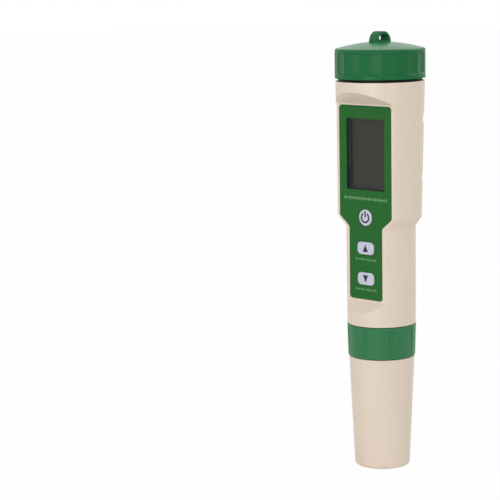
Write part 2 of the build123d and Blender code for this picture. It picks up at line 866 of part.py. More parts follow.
# Slotted guard around the electrodes
guard_bottom = neck_bottom - guard_drop
guard_bore = sensor_neck_radius + sensor_gap
with BuildPart() as sensor_guard:
    add(round_disc(guard_radius, guard_bottom, skirt_bottom))
    add(round_disc(guard_bore, guard_bottom, skirt_bottom), mode=Mode.SUBTRACT)
    slot_height = guard_drop - guard_rim - 1.5
    for turn in range(guard_slot_count):
        slot_plane = Plane.XZ.rotated((0, 0, turn * 360 / guard_slot_count))
        with BuildSketch(slot_plane):
            with Locations((0, guard_bottom + guard_rim + slot_height / 2)):
                SlotOverall(slot_height, guard_slot_width, rotation=90)
        extrude(amount=guard_radius + 1, mode=Mode.SUBTRACT)
sensor_guard.part.label = "sensor_guard"
export_step(sensor_guard.part, "parts/sensor_guard.step")

# Glass acidity electrode: hollow stem blown into a bulb
bulb_centre = neck_bottom - bulb_reach + bulb_radius
bulb_join = bulb_centre + sqrt(bulb_radius**2 - bulb_stem_radius**2)
with BuildPart() as ph_bulb:
    with BuildSketch(Plane.XY.offset(bulb_centre)):
        with Locations((-bulb_offset, 0)):
            Circle(bulb_stem_radius)
    extrude(amount=neck_bottom - bulb_centre)
    with Locations((-bulb_offset, 0, bulb_centre)):
        Sphere(bulb_radius)
    with BuildSketch(Plane.XY.offset(bulb_centre)):
        with Locations((-bulb_offset, 0)):
            Circle(bulb_stem_radius - bulb_wall)
    extrude(amount=neck_bottom - bulb_centre, mode=Mode.SUBTRACT)
    with Locations((-bulb_offset, 0, bulb_centre)):
        Sphere(bulb_radius - bulb_wall, mode=Mode.SUBTRACT)
ph_bulb.part.label = "ph_bulb"
export_step(ph_bulb.part, "parts/ph_bulb.step")

with BuildPart() as bulb_wire:
    with BuildSketch(Plane.XY.offset(bulb_centre)):
        with Locations((-bulb_offset, 0)):
            Circle(wire_radius)
    extrude(amount=neck_bottom - bulb_centre)
bulb_wire.part.label = "bulb_wire"
export_step(bulb_wire.part, "parts/bulb_wire.step")

with BuildPart() as reference_junction:
    with BuildSketch(Plane.XY.offset(neck_bottom - junction_reach)):
        with Locations((1, -side_probe_offset)):
            Circle(junction_radius)
    extrude(amount=junction_reach)
    fillet(reference_junction.faces().sort_by(Axis.Z)[0].edges(), 0.6)
reference_junction.part.label = "reference_junction"
export_step(reference_junction.part, "parts/reference_junction.step")

# Redox electrode: a rod with a noble metal band near its tip
band_bottom = neck_bottom - probe_reach + 1
band_seat_radius = probe_radius - 0.2
with BuildPart() as redox_rod:
    for radius, bottom, top in (
        (probe_radius, neck_bottom - probe_reach, band_bottom),
        (band_seat_radius, band_bottom, band_bottom + band_height),
        (probe_radius, band_bottom + band_height, neck_bottom),
    ):
        with BuildSketch(Plane.XY.offset(bottom)):
            with Locations((1, side_probe_offset)):
                Circle(radius)
        extrude(amount=top - bottom)
redox_rod.part.label = "redox_rod"
export_step(redox_rod.part, "parts/redox_rod.step")

with BuildPart() as redox_band:
    with BuildSketch(Plane.XY.offset(band_bottom)):
        with Locations((1, side_probe_offset)):
            Circle(band_radius)
            Circle(band_seat_radius, mode=Mode.SUBTRACT)
    extrude(amount=band_height)
redox_band.part.label = "redox_band"
export_step(redox_band.part, "parts/redox_band.step")

with BuildPart() as conductivity_pins:
    with BuildSketch(Plane.XY.offset(neck_bottom - pin_pair_reach)):
        with Locations((pin_pair_offset, -pin_pair_spread), (pin_pair_offset, pin_pair_spread)):
            Circle(pin_pair_radius)
    extrude(amount=pin_pair_reach)
    tips = conductivity_pins.edges().filter_by(GeomType.CIRCLE).group_by(Axis.Z)[0]
    fillet(tips, pin_pair_radius * 0.6)
conductivity_pins.part.label = "conductivity_pins"
export_step(conductivity_pins.part, "parts/conductivity_pins.step")

with BuildPart() as temperature_probe:
    with BuildSketch(Plane.XY.offset(neck_bottom - probe_reach)):
        with Locations((2.2, 0)):
            Circle(probe_radius)
    extrude(amount=probe_reach)
    fillet(temperature_probe.faces().sort_by(Axis.Z)[0].edges(), probe_radius * 0.8)
temperature_probe.part.label = "temperature_probe"
export_step(temperature_probe.part, "parts/temperature_probe.step")

# Lock ring: screws onto the nose and clamps the sensor flange
with BuildPart() as lock_ring:
    with BuildSketch(Plane.XZ):
        with BuildLine():
            Polyline(
                (skirt_radius + thread_gap, ring_bottom),
                (ring_low_radius, ring_bottom),
                (ring_high_radius, ring_top),
                (nose_radius + thread_gap, ring_top),
                (nose_radius + thread_gap, flange_bottom - plate_gap),
                (skirt_radius + thread_gap, flange_bottom - plate_gap),
                close=True,
            )
        make_face()
    revolve(axis=Axis.Z)
    outer_edges = lock_ring.edges().filter_by(GeomType.CIRCLE)
    fillet(outer_edges.filter_by(lambda edge: edge.radius >= ring_low_radius - 0.01), 0.35)
    with BuildSketch(Plane.XY.offset(ring_bottom + 1)):
        with PolarLocations(
            ring_low_radius + ring_groove_round - ring_groove_depth, ring_groove_count, ring_groove_turn - 90
        ):
            Circle(ring_groove_round)
    extrude(amount=ring_height - 2, mode=Mode.SUBTRACT)
lock_ring.part.label = "lock_ring"
export_step(lock_ring.part, "parts/lock_ring.step")

# Probe cover: tapered cup that slides over the sensor skirt
mouth_step = cover_height - cover_mouth_depth
cover_draft = (cover_mouth_radius - cover_base_radius) / cover_height
step_radius = cover_base_radius - cover_wall + cover_draft * mouth_step
with BuildPart() as probe_cover:
    with BuildSketch(Plane.XZ):
        with BuildLine():
            Polyline(
                (0, 0),
                (cover_base_radius, 0),
                (cover_mouth_radius, cover_height),
                (cover_mouth_bore, cover_height),
                (cover_mouth_bore, mouth_step),
                (step_radius, mouth_step),
                (cover_base_radius - cover_wall, cover_floor),
                (0, cover_floor),
                close=True,
            )
        make_face()
    revolve(axis=Axis.Z)
    fillet(probe_cover.edges().filter_by(GeomType.CIRCLE).group_by(Axis.Z)[0], cover_base_round)
probe_cover.part.label = "probe_cover"
export_step(probe_cover.part, "parts/probe_cover.step")

# Storage sponge in the bottom of the cover
with BuildPart() as storage_sponge:
    add(round_disc(cover_base_radius - cover_wall - sponge_gap, cover_floor, cover_floor + sponge_height))
storage_sponge.part.label = "storage_sponge"
export_step(storage_sponge.part, "parts/storage_sponge.step")
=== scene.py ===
import math
import random

import bmesh
import bpy
from bpy.props import FloatProperty, FloatVectorProperty, IntProperty, PointerProperty
from mathutils import Matrix, Vector


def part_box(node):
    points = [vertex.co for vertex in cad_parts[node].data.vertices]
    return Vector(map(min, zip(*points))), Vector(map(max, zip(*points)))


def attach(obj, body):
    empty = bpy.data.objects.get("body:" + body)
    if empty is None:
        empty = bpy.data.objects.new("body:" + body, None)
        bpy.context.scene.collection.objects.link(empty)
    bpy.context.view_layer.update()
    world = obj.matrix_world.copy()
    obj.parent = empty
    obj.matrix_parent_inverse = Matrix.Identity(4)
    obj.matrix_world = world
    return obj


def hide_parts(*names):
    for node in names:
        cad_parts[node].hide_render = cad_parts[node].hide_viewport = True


bl_info = {
    "name": "Water Test Pen Finish",
    "version": (1, 0, 0),
    "blender": (4, 5, 0),
    "location": "View3D > Sidebar > Test Pen",
    "description": "Dresses the packed water quality test pen: finishes, prints, threads and stage",
    "category": "Object",
}

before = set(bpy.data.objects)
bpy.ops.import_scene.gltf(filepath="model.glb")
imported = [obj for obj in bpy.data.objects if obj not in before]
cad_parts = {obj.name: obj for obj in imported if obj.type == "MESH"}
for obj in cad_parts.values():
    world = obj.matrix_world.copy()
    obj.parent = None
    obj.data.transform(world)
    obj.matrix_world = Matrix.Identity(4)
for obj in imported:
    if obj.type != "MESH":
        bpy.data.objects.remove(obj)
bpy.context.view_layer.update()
mm = 0.001


def centre(node):
    """Middle of a node's box at rest."""
    low, high = (Vector(corner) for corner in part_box(node))
    return (low + high) / 2


def low(node):
    """Lowest corner of a node's box at rest."""
    return Vector(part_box(node)[0])


def high(node):
    """Highest corner of a node's box at rest."""
    return Vector(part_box(node)[1])


# Property groups: what a user would change


class BodyLook(bpy.types.PropertyGroup):
    """Finish of the pale moulded shells."""

    colour: FloatVectorProperty(
        name="Shell colour", description="Colour of the pale shells", subtype="COLOR", size=3,
        default=(0.715, 0.600, 0.490), min=0, max=1,
    )
    roughness: FloatProperty(
        name="Roughness", description="Sheen of the shells", default=0.42, min=0, max=1
    )
    grain: FloatProperty(
        name="Grain", description="Size of the moulded grain", default=0.0004, unit="LENGTH", min=0.0001
    )


class GreenLook(bpy.types.PropertyGroup):
    """Finish of the green cap and lock ring."""

    cap_colour: FloatVectorProperty(
        name="Cap colour", description="Colour of the battery cap", subtype="COLOR", size=3,
        default=(0.008, 0.124, 0.036), min=0, max=1,
    )
    ring_colour: FloatVectorProperty(
        name="Ring colour", description="Colour of the lock ring", subtype="COLOR", size=3,
        default=(0.020, 0.165, 0.058), min=0, max=1,
    )
    roughness: FloatProperty(
        name="Roughness", description="Sheen of the green parts", default=0.4, min=0, max=1
    )
    dome_rise: FloatProperty(
        name="Dome rise", description="Height of the rounded top", default=0.0026, unit="LENGTH", min=0
    )
    dome_margin: FloatProperty(
        name="Dome margin", description="Width of the rim round the dome", default=0.0008,
        unit="LENGTH", min=0,
    )
    dome_skirt: FloatProperty(
        name="Dome skirt", description="Depth that the dome sinks into the cap", default=0.0003,
        unit="LENGTH", min=0,
    )
    loop_rise: FloatProperty(
        name="Loop rise", description="Height of the loop's top over the rim", default=0.00695,
        unit="LENGTH", min=0,
    )


class LabelLook(bpy.types.PropertyGroup):
    """Front label and its plain printed marks."""

    colour: FloatVectorProperty(
        name="Film colour", description="Colour of the label film", subtype="COLOR", size=3,
        default=(0.016, 0.118, 0.022), min=0, max=1,
    )
    mark_colour: FloatVectorProperty(
        name="Mark colour", description="Colour of the printed marks", subtype="COLOR", size=3,
        default=(0.22, 0.42, 0.22), min=0, max=1,
    )
    mark_thickness: FloatProperty(
        name="Mark thickness", description="Thickness of the print", default=0.00002,
        unit="LENGTH", min=0,
    )
    mark_width: FloatProperty(
        name="Mark width", description="Width of one tick", default=0.0003, unit="LENGTH", min=0
    )
    long_mark_spacing: IntProperty(
        name="Long mark spacing", description="Every so many ticks one is long", default=4, min=1
    )
    short_mark_share: FloatProperty(
        name="Short mark share", description="Height of a short tick over a long one", default=0.6,
        min=0, max=1,
    )


class DisplayLook(bpy.types.PropertyGroup):
    """Display glass and its frame."""

    colour: FloatVectorProperty(
        name="Display colour", description="Colour of the unlit display", subtype="COLOR", size=3,
        default=(0.044, 0.044, 0.036), min=0, max=1,
    )
    mask_width: FloatProperty(
        name="Border and shadow width", description="Width of the dark strips", default=0.0023, unit="LENGTH", min=0
    )
    border_and_shadow_thickness: FloatProperty(
        name="Border and shadow thickness", description="Thickness of the strips", default=0.00002,
        unit="LENGTH", min=0,
    )
    tip_count: IntProperty(name="Tip count", description="Number of pin ends", default=16, min=1)
    tip_pitch: FloatProperty(
        name="Tip pitch", description="Spacing of the pin ends", default=0.00125, unit="LENGTH", min=0
    )
    tip_width: FloatProperty(
        name="Tip width", description="Width of a pin end", default=0.0009, unit="LENGTH", min=0
    )
    tip_height: FloatProperty(
        name="Tip height", description="Height of a pin end", default=0.0006, unit="LENGTH", min=0
    )
    tip_side: FloatProperty(
        name="Tip side", description="Distance of the pin ends from the middle", default=0.01075,
        unit="LENGTH", min=0,
    )
    tip_drop: FloatProperty(
        name="Tip drop", description="Distance of the first end below the panel's top", default=0.0032,
        unit="LENGTH", min=0,
    )


class KeyLook(bpy.types.PropertyGroup):
    """Rubber keys and their symbols."""

    colour: FloatVectorProperty(
        name="Key colour", description="Colour of the keys", subtype="COLOR", size=3,
        default=(0.53, 0.54, 0.65), min=0, max=1,
    )
    symbol_colour: FloatVectorProperty(
        name="Symbol colour", description="Colour of the key symbols", subtype="COLOR", size=3,
        default=(0.012, 0.009, 0.045), min=0, max=1,
    )
    ring_radius: FloatProperty(
        name="Ring radius", description="Radius of the power symbol", default=0.00235,
        unit="LENGTH", min=0,
    )
    stroke: FloatProperty(
        name="Stroke", description="Line width of the power symbol", default=0.00075,
        unit="LENGTH", min=0,
    )
    ink_thickness: FloatProperty(
        name="Ink thickness", description="Thickness of the symbols", default=0.00002,
        unit="LENGTH", min=0,
    )
    triangle_width: FloatProperty(
        name="Triangle width", description="Width of the arrows", default=0.0029, unit="LENGTH", min=0
    )
    triangle_height: FloatProperty(
        name="Triangle height", description="Height of the arrows", default=0.0031, unit="LENGTH", min=0
    )


class ThreadLook(bpy.types.PropertyGroup):
    """Screw threads that the solids leave plain."""

    pitch: FloatProperty(
        name="Pitch", description="Rise of one turn", default=0.003, unit="LENGTH", min=0.0005
    )
    segments: IntProperty(name="Segments", description="Steps in one turn", default=72, min=12)
    crest: FloatProperty(
        name="Crest", description="Height of the ridge over its cylinder", default=0.00012,
        unit="LENGTH", min=0,
    )
    sink: FloatProperty(
        name="Sink", description="Depth of the ridge's foot in its cylinder", default=0.00005,
        unit="LENGTH", min=0,
    )
    neck_radius: FloatProperty(
        name="Neck radius", description="Radius of the neck under the cap", default=0.0155,
        unit="LENGTH", min=0,
    )
    neck_start: FloatProperty(
        name="Neck start", description="Start of the thread above the cap's foot", default=0.0014,
        unit="LENGTH", min=0,
    )
    neck_length: FloatProperty(
        name="Neck length", description="Length of the thread on the neck", default=0.0058,
        unit="LENGTH", min=0,
    )
    nose_radius: FloatProperty(
        name="Nose radius", description="Radius of the nose in the ring", default=0.01285,
        unit="LENGTH", min=0,
    )
    nose_start: FloatProperty(
        name="Nose start", description="Start of the thread above the ring's foot", default=0.0068,
        unit="LENGTH", min=0,
    )
    nose_length: FloatProperty(
        name="Nose length", description="Length of the thread on the nose", default=0.0056,
        unit="LENGTH", min=0,
    )


class SpongeLook(bpy.types.PropertyGroup):
    """Storage sponge in the cover."""

    pore_shade_colour: FloatVectorProperty(
        name="Pore shade colour", description="Colour in the pores", subtype="COLOR", size=3,
        default=(0.50, 0.42, 0.16), min=0, max=1,
    )
    colour: FloatVectorProperty(
        name="Sponge colour", description="Colour of the foam", subtype="COLOR", size=3,
        default=(0.86, 0.76, 0.40), min=0, max=1,
    )
    edge: FloatProperty(
        name="Edge", description="Radius of the rounded edges", default=0.0008, unit="LENGTH", min=0
    )
    margin: FloatProperty(
        name="Margin", description="Gap inside the solid's side", default=0.00005, unit="LENGTH", min=0
    )
    unevenness: FloatProperty(
        name="Unevenness", description="Depth of the uneven skin", default=0.00006, unit="LENGTH", min=0
    )
    turns: IntProperty(name="Turns", description="Steps round the sponge", default=72, min=12)


class StageLook(bpy.types.PropertyGroup):
    """Camera, lamps and floor."""

    bearing: FloatProperty(
        name="Bearing", description="Bearing of the camera from the front", default=math.radians(40.624),
        subtype="ANGLE",
    )
    distance: FloatProperty(
        name="Distance", description="Level distance from the pen's axis", default=0.7817, unit="LENGTH"
    )
    height: FloatProperty(name="Height", description="Camera height", default=0.21576, unit="LENGTH")
    aside: FloatProperty(
        name="Aside", description="Turn of the view away from the axis", default=math.radians(4.096),
        subtype="ANGLE",
    )
    down: FloatProperty(
        name="Down", description="Tilt of the view below level", default=math.radians(8.87),
        subtype="ANGLE",
    )
    roll: FloatProperty(
        name="Roll", description="Roll of the view", default=math.radians(-0.991), subtype="ANGLE"
    )
    lens: FloatProperty(name="Lens", description="Focal length in millimetres", default=133.5, min=1)


# Materials


def new_material(name, metallic=0.0, roughness=0.5, specular=0.5, coat=0.0, coat_roughness=0.1):
    """Material with a principled shader whose constant values sit on its own sockets."""
    material = bpy.data.materials.new(name)
    material.use_nodes = True
    shader = material.node_tree.nodes["Principled BSDF"]
    shader.inputs["Metallic"].default_value = metallic
    shader.inputs["Roughness"].default_value = roughness
    shader.inputs["Specular IOR Level"].default_value = specular
    shader.inputs["Coat Weight"].default_value = coat
    shader.inputs["Coat Roughness"].default_value = coat_roughness
    return material, material.node_tree, shader


def position(tree):
    """Object coordinates, which are metres on every piece."""
    return tree.nodes.new("ShaderNodeTexCoord").outputs["Object"]


def noise(tree, source, size, detail=2.0, stretch=(1, 1, 1)):
    """Noise whose features are about size metres across."""
    mapping = tree.nodes.new("ShaderNodeMapping")
    mapping.inputs["Scale"].default_value = Vector(stretch) / size
    texture = tree.nodes.new("ShaderNodeTexNoise")
    texture.inputs["Scale"].default_value = 1.0
    texture.inputs["Detail"].default_value = detail
    tree.links.new(source, mapping.inputs["Vector"])
    tree.links.new(mapping.outputs["Vector"], texture.inputs["Vector"])
    return texture.outputs["Fac"]


def blend_colour(tree, factor, first, second):
    """Colour between two colours by a factor."""
    mix = tree.nodes.new("ShaderNodeMix")
    mix.data_type = "RGBA"
    mix.inputs["A"].default_value = (*first, 1)
    mix.inputs["B"].default_value = (*second, 1)
    tree.links.new(factor, mix.inputs["Factor"])
    return mix.outputs["Result"]


def spread(tree, factor, start, end):
    """Factor mapped from 0.3 to 0.7 onto a range."""
    node = tree.nodes.new("ShaderNodeMapRange")
    node.inputs["From Min"].default_value = 0.3
    node.inputs["From Max"].default_value = 0.7
    node.inputs["To Min"].default_value = start
    node.inputs["To Max"].default_value = end
    tree.links.new(factor, node.inputs["Value"])
    return node.outputs["Result"]


def relief(tree, shader, heights, strength):
    """Bump from one or more height outputs, laid over each other."""
    normal = None
    for height, distance in heights:
        bump = tree.nodes.new("ShaderNodeBump")
        bump.inputs["Strength"].default_value = strength
        bump.inputs["Distance"].default_value = distance
        tree.links.new(height, bump.inputs["Height"])
        if normal is not None:
            tree.links.new(normal, bump.inputs["Normal"])
        normal = bump.outputs["Normal"]
    tree.links.new(normal, shader.inputs["Normal"])


def scaled(colour, factor):
    """A colour made lighter or darker."""
    return tuple(min(1.0, value * factor) for value in colour)


def moulded_plastic(name, colour, roughness, grain, depth, coat=0.0, variation=0.05, specular=0.5):
    """Moulded plastic: fine spark-eroded grain, faint flow marks and slightly uneven sheen."""
    material, tree, shader = new_material(name, roughness=roughness, specular=specular, coat=coat)
    place = position(tree)
    flow = noise(tree, place, 0.012, 3.0, (1, 1, 0.35))
    tint = blend_colour(tree, flow, scaled(colour, 1 - variation), scaled(colour, 1 + variation))
    tree.links.new(tint, shader.inputs["Base Color"])
    patches = noise(tree, place, 0.004, 4.0)
    sheen = spread(tree, patches, roughness - 0.04, roughness + 0.05)
    tree.links.new(sheen, shader.inputs["Roughness"])
    relief(tree, shader, [(noise(tree, place, grain, 2.0), depth), (patches, depth * 2)], 0.6)
    return material


def brushed_metal(name, colour, roughness, stretch=(1, 1, 0.02), size=0.0002, variation=0.12):
    """Metal with fine drawn lines along one direction."""
    material, tree, shader = new_material(name, metallic=1.0, roughness=roughness)
    place = position(tree)
    lines = noise(tree, place, size, 2.0, stretch)
    stain = noise(tree, place, 0.003, 3.0)
    tint = blend_colour(tree, stain, scaled(colour, 1 - variation), scaled(colour, 1 + variation))
    tree.links.new(tint, shader.inputs["Base Color"])
    tree.links.new(spread(tree, lines, roughness - 0.06, roughness + 0.1), shader.inputs["Roughness"])
    relief(tree, shader, [(lines, 0.00001)], 0.5)
    return material


def soft_rubber(name, colour, roughness, grain=0.0003, depth=0.000012, specular=0.35):
    """Matt rubber with a fine skin."""
    material, tree, shader = new_material(name, roughness=roughness, specular=specular)
    place = position(tree)
    skin = noise(tree, place, grain, 3.0)
    bloom = noise(tree, place, 0.003, 3.0)
    tint = blend_colour(tree, bloom, scaled(colour, 0.94), scaled(colour, 1.06))
    tree.links.new(tint, shader.inputs["Base Color"])
    tree.links.new(spread(tree, bloom, roughness - 0.05, roughness + 0.06), shader.inputs["Roughness"])
    relief(tree, shader, [(skin, depth)], 0.6)
    return material


def clear_sheet(name, tint, index=1.2, roughness=0.03):
    """Thin clear pane: mostly see-through, with gloss that grows at grazing angles."""
    material = bpy.data.materials.new(name)
    material.use_nodes = True
    tree = material.node_tree
    tree.nodes.remove(tree.nodes["Principled BSDF"])
    output = tree.nodes["Material Output"]
    through = tree.nodes.new("ShaderNodeBsdfTransparent")
    through.inputs["Color"].default_value = (*tint, 1)
    gloss = tree.nodes.new("ShaderNodeBsdfGlossy")
    gloss.inputs["Roughness"].default_value = roughness
    edge = tree.nodes.new("ShaderNodeFresnel")
    edge.inputs["IOR"].default_value = index
    scratches = noise(tree, position(tree), 0.0006, 4.0, (1, 1, 0.2))
    bump = tree.nodes.new("ShaderNodeBump")
    bump.inputs["Strength"].default_value = 0.05
    bump.inputs["Distance"].default_value = 0.00001
    tree.links.new(scratches, bump.inputs["Height"])
    tree.links.new(bump.outputs["Normal"], gloss.inputs["Normal"])
    mix = tree.nodes.new("ShaderNodeMixShader")
    tree.links.new(edge.outputs["Fac"], mix.inputs["Fac"])
    tree.links.new(through.outputs["BSDF"], mix.inputs[1])
    tree.links.new(gloss.outputs["BSDF"], mix.inputs[2])
    tree.links.new(mix.outputs["Shader"], output.inputs["Surface"])
    return material


def blown_glass(name, tint, roughness=0.04):
    """Thin blown glass with slight streaks."""
    material, tree, shader = new_material(name, roughness=roughness)
    shader.inputs["Transmission Weight"].default_value = 0.95
    shader.inputs["IOR"].default_value = 1.47
    streaks = noise(tree, position(tree), 0.001, 2.0, (1, 1, 0.2))
    tint_out = blend_colour(tree, streaks, scaled(tint, 0.97), tint)
    tree.links.new(tint_out, shader.inputs["Base Color"])
    relief(tree, shader, [(streaks, 0.00001)], 0.3)
    return material


def paint_edge_highlight(material, colour):
    """Gives a film's cut edges, which face sideways, a colour of their own that paints a highlight on
    them.
    """
    tree = material.node_tree
    base = tree.nodes["Principled BSDF"].inputs["Base Color"]
    facing = tree.nodes.new("ShaderNodeSeparateXYZ")
    surface = tree.nodes.new("ShaderNodeNewGeometry")
    tree.links.new(surface.outputs["True Normal"], facing.inputs["Vector"])
    side = tree.nodes.new("ShaderNodeMath")
    side.operation = "GREATER_THAN"
    side.inputs[1].default_value = -0.5
    tree.links.new(facing.outputs["Y"], side.inputs[0])
    mix = tree.nodes.new("ShaderNodeMix")
    mix.data_type = "RGBA"
    tree.links.new(side.outputs["Value"], mix.inputs["Factor"])
    tree.links.new(base.links[0].from_socket, mix.inputs["A"])
    mix.inputs["B"].default_value = (*colour, 1)
    tree.links.new(mix.outputs["Result"], base)


def dress(node, material):
    """Gives a carried-over node one material on all its slots."""
    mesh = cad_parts[node].data
    mesh.materials.clear()
    mesh.materials.append(material)


def smooth_by_angle(piece, angle=35):
    """Smooth shading that keeps sharp corners."""
    for polygon in piece.data.polygons:
        polygon.use_smooth = True
    sharp = math.radians(angle)
    shape = bmesh.new()
    shape.from_mesh(piece.data)
    for edge in shape.edges:
        edge.smooth = not (edge.is_manifold and edge.calc_face_angle(0) > sharp)
    shape.to_mesh(piece.data)
    shape.free()


# Pieces


def mesh_piece(name, shape, material, body):
    """Finished piece from a bmesh, riding on a body."""
    mesh = bpy.data.meshes.new(name)
    bmesh.ops.recalc_face_normals(shape, faces=shape.faces)
    shape.to_mesh(mesh)
    shape.free()
    piece = bpy.data.objects.new(name, mesh)
    bpy.context.scene.collection.objects.link(piece)
    mesh.materials.append(material)
    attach(piece, body)
    return piece


def add_print(shape, outline, front, thickness):
    """Thin raised print with the given outline in x and z, standing out of a face towards -Y."""
    back_verts = [shape.verts.new((x, front, z)) for x, z in outline]
    face = shape.faces.new(back_verts)
    made = bmesh.ops.extrude_face_region(shape, geom=[face])
    moved = [item for item in made["geom"] if isinstance(item, bmesh.types.BMVert)]
    bmesh.ops.translate(shape, verts=moved, vec=(0, -thickness, 0))


def arc_points(middle, radius, start, end, steps):
    """Points on an arc in the x-z plane, angles from +X towards +Z in degrees."""
    return [
        (
            middle[0] + radius * math.cos(math.radians(start + (end - start) * step / steps)),
            middle[1] + radius * math.sin(math.radians(start + (end - start) * step / steps)),
        )
        for step in range(steps + 1)
    ]


def bar_outline(x, z, width, height):
    """Rectangle outline around a middle point."""
    return [
        (x - width / 2, z - height / 2),
        (x + width / 2, z - height / 2),
        (x + width / 2, z + height / 2),
        (x - width / 2, z + height / 2),
    ]


def power_symbol(shape, middle, front, look):
    """Broken ring with a short bar through its gap."""
    half_gap = 32
    steps = 40
    bar_rise = look.ring_radius * 0.62
    bar_length = look.ring_radius * 1.05
    outer = arc_points(middle, look.ring_radius, 90 + half_gap, 450 - half_gap, steps)
    inner = arc_points(middle, look.ring_radius - look.stroke, 450 - half_gap, 90 + half_gap, steps)
    add_print(shape, outer + inner, front, look.ink_thickness)
    bar = bar_outline(middle[0], middle[1] + bar_rise, look.stroke, bar_length)
    add_print(shape, bar, front, look.ink_thickness)


def triangle_symbol(shape, middle, front, look, direction):
    """Filled triangle that points up or down."""
    half_width = look.triangle_width / 2
    half_height = look.triangle_height / 2 * direction
    outline = [
        (middle[0] - half_width, middle[1] - half_height),
        (middle[0] + half_width, middle[1] - half_height),
        (middle[0], middle[1] + half_height),
    ]
    add_print(shape, outline, front, look.ink_thickness)


def level_loop(shape, radius, height, turns, unevenness=0.0):
    """Level loop of vertices round the pen's axis; unevenness draws each coordinate in at random."""
    loop = []
    for turn in range(turns):
        angle = 2 * math.pi * turn / turns
        across = radius - random.uniform(0, unevenness)
        along = radius - random.uniform(0, unevenness)
        loop.append(shape.verts.new((across * math.cos(angle), along * math.sin(angle), height)))
    return loop


def join_loops(shape, loops):
    """Faces between each closed loop of vertices and the next."""
    for first, second in zip(loops, loops[1:]):
        for index, vertex in enumerate(first):
            following = (index + 1) % len(first)
            shape.faces.new((vertex, first[following], second[following], second[index]))


def thread_ridge(name, radius, bottom, length, look, material):
    """Helical thread ridge round a cylinder of the housing, which runs out at both ends."""
    shape = bmesh.new()
    root = radius - look.sink
    steps = int(length / look.pitch * look.segments)
    foot = look.pitch * 0.32
    land = look.pitch * 0.12
    run_out = look.segments / 4
    sections = []
    for step in range(steps + 1):
        turn = 2 * math.pi * step / look.segments
        height = bottom + look.pitch * step / look.segments
        fade = min(1, step / run_out, (steps - step) / run_out)
        reach = root + (look.sink + look.crest) * fade
        profile = ((root, -foot), (reach, -land), (reach, land), (root, foot))
        sections.append(
            [
                shape.verts.new((distance * math.cos(turn), distance * math.sin(turn), height + rise))
                for distance, rise in profile
            ]
        )
    join_loops(shape, sections)
    shape.faces.new(sections[0])
    shape.faces.new(list(reversed(sections[-1])))
    bmesh.ops.remove_doubles(shape, verts=shape.verts, dist=1e-8)
    smooth_by_angle(mesh_piece(name, shape, material, "housing"))


# Operators


class PEN_OT_shells(bpy.types.Operator):
    """Finishes the pale housing, collar and probe cover"""

    bl_idname = "test_pen.shells"
    bl_label = "Pale Shells"

    def execute(self, context):
        look = context.scene.pen_body
        shell = moulded_plastic("shell_plastic", look.colour, look.roughness, look.grain, 0.000006)
        for node in ("main_housing", "threaded_collar", "probe_cover"):
            dress(node, shell)
        return {"FINISHED"}


class PEN_OT_green_parts(bpy.types.Operator):
    """Finishes the battery cap and the lock ring"""

    bl_idname = "test_pen.green_parts"
    bl_label = "Green Parts"

    def execute(self, context):
        look = context.scene.pen_green
        finish = {"roughness": look.roughness, "grain": 0.0003, "depth": 0.000005}
        cap = moulded_plastic("cap_plastic", look.cap_colour, specular=0.16, **finish)
        ring = moulded_plastic("ring_plastic", look.ring_colour, specular=0.3, **finish)
        dress("battery_cap", cap)
        dress("lock_ring", ring)
        # The dome gets a paler copy of the cap's green: a painted highlight on the rounded top.
        pale = scaled(look.cap_colour, 1.5)
        crown = moulded_plastic("crown_painted_highlight", pale, 0.3, 0.0003, 0.000001, specular=0.8)
        self.add_dome(look, crown)
        return {"FINISHED"}

    def add_dome(self, look, material):
        """Full rounded top of the cap, round the foot of its loop."""
        rim = high("battery_cap").x - look.dome_margin
        shoulder = high("battery_cap").z - look.loop_rise
        steps, turns = 14, 96
        shape = bmesh.new()
        loops = []
        for step in range(1, steps + 1):
            share = step / steps
            height = shoulder + look.dome_rise * (1 - share**2)
            loops.append(level_loop(shape, rim * share, height, turns))
        loops.append(level_loop(shape, rim, shoulder - look.dome_skirt, turns))
        crown = shape.verts.new((0, 0, shoulder + look.dome_rise))
        for turn in range(turns):
            shape.faces.new((crown, loops[0][turn], loops[0][(turn + 1) % turns]))
        join_loops(shape, loops)
        shape.faces.new(list(reversed(loops[-1])))
        smooth_by_angle(mesh_piece("cap_dome", shape, material, "battery_cap"))


class PEN_OT_label(bpy.types.Operator):
    """Finishes the label film and lays plain printed marks on it"""

    bl_idname = "test_pen.label"
    bl_label = "Front Label"

    def execute(self, context):
        look = context.scene.pen_label
        film = moulded_plastic(
            "label_film", look.colour, 0.6, 0.0005, 0.000002, variation=0.04, specular=0.15
        )
        # The paler green on the film's cut edges is a painted highlight along the label's rim.
        paint_edge_highlight(film, (0.06, 0.17, 0.06))
        dress("front_label", film)
        ink = moulded_plastic("label_ink", look.mark_colour, 0.5, 0.0003, 0.000002)
        front = low("front_label").y
        shape = bmesh.new()
        # Each row: its middle's height, number of ticks, their spacing and the height of a long one
        rows = (
            (low("lcd_panel").z - 1.4 * mm, 29, 0.82 * mm, 1.5 * mm),
            (low("up_key").z - 1.4 * mm, 13, 0.9 * mm, 1.2 * mm),
            (low("down_key").z - 1.2 * mm, 13, 0.9 * mm, 1.2 * mm),
        )
        for row_height, count, pitch, long_mark in rows:
            for index in range(count):
                is_long = index % look.long_mark_spacing == 0
                tall = long_mark if is_long else long_mark * look.short_mark_share
                x = (index - (count - 1) / 2) * pitch
                mark = bar_outline(x, row_height, look.mark_width, tall)
                add_print(shape, mark, front, look.mark_thickness)
        mesh_piece("label_marks", shape, ink, "housing")
        return {"FINISHED"}


